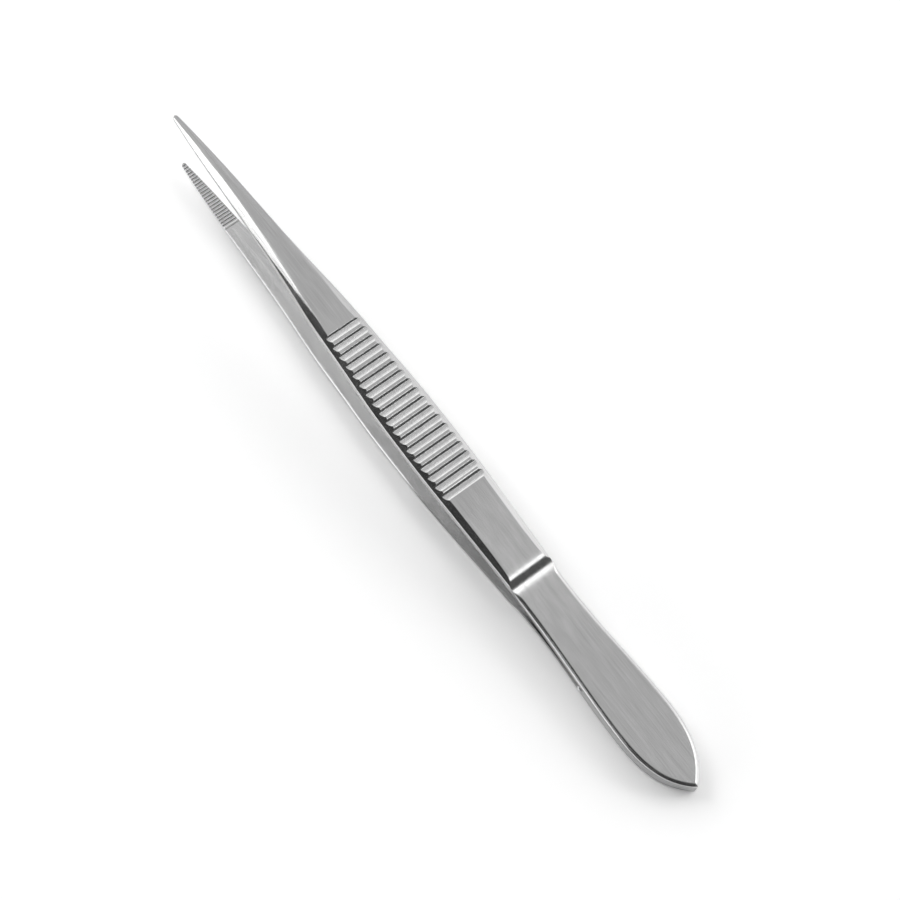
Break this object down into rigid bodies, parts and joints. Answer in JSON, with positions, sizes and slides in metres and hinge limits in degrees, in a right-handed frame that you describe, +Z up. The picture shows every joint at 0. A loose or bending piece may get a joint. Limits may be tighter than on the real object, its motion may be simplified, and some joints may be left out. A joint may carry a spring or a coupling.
{
  "type": "splinter forceps",
  "caption": "Fine-pointed stainless splinter forceps: a pair of spring blades welded at a leaf-shaped tail, with a fluted grip and straight serrated points.",
  "frame": {"origin": "on the surface that the forceps lies on, below the centre of its bounding box", "axes": "+X from the tail to the points, +Y across the blades, +Z up; the forceps lies on the tail and the grip of its lower blade"},
  "size_m": [0.1154, 0.0082, 0.0159],
  "materials": {
    "steel": "satin"
  },
  "bodies": {
    "root": {"upper_blade": "steel", "lower_blade": "steel"}
  },
  "joints": []
}
